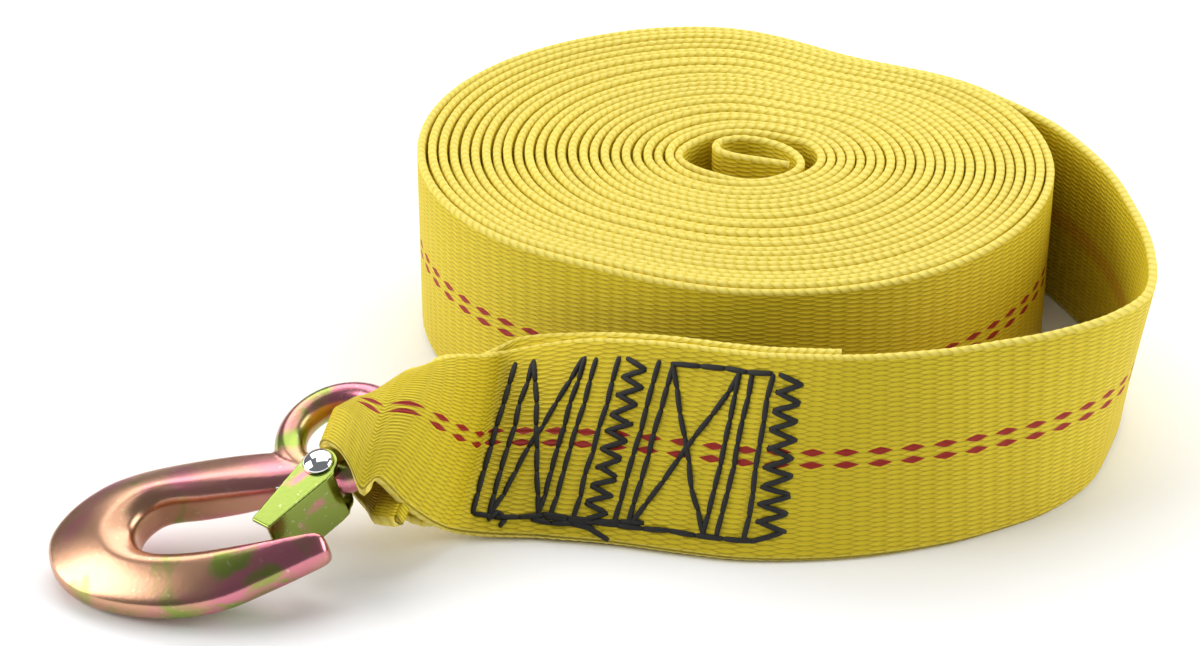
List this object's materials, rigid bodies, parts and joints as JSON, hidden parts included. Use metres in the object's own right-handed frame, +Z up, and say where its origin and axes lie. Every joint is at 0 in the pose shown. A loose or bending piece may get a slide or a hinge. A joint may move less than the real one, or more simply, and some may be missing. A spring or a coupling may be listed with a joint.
{
  "type": "winch strap",
  "caption": "Flat webbing strap wound in an oval coil, with a sewn eye that holds a forged hook with a sprung latch.",
  "frame": {"origin": "centre of the bounding box at the floor, under the coil standing on its edge", "axes": "+X towards the coil's right end, away from the hook; -Y towards the viewer; +Z up along the webbing's width"},
  "size_m": [0.27, 0.225, 0.0508],
  "materials": {
    "webbing": "woven polyester, yellow",
    "thread": "black bonded thread",
    "forged_hook": "yellow zinc",
    "latch_sheet": "yellow zinc",
    "rivet": "bright",
    "spring_wire": "bright drawn"
  },
  "bodies": {
    "strap": {"webbing_strap": "webbing", "stitching_front": "thread", "stitching_back": "thread"},
    "hook": {"hook_body": "forged_hook", "latch_rivet": "rivet", "latch_spring": "spring_wire"},
    "latch": {"latch": "latch_sheet"}
  },
  "joints": [
    {"name": "hook_swing", "type": "hinge", "parent": "strap", "child": "hook", "pos_m": [-0.05345, -0.07143, 0.02652], "axis": [0.2511, 0.9186, 0.305], "range_deg": [-8, 8]},
    {"name": "latch_pivot", "type": "hinge", "parent": "hook", "child": "latch", "pos_m": [-0.06854, -0.08101, 0.02069], "axis": [0.2008, 0.2588, -0.9448], "range_deg": [0, 45], "stiffness_Nm_per_rad": 0.05}
  ]
}
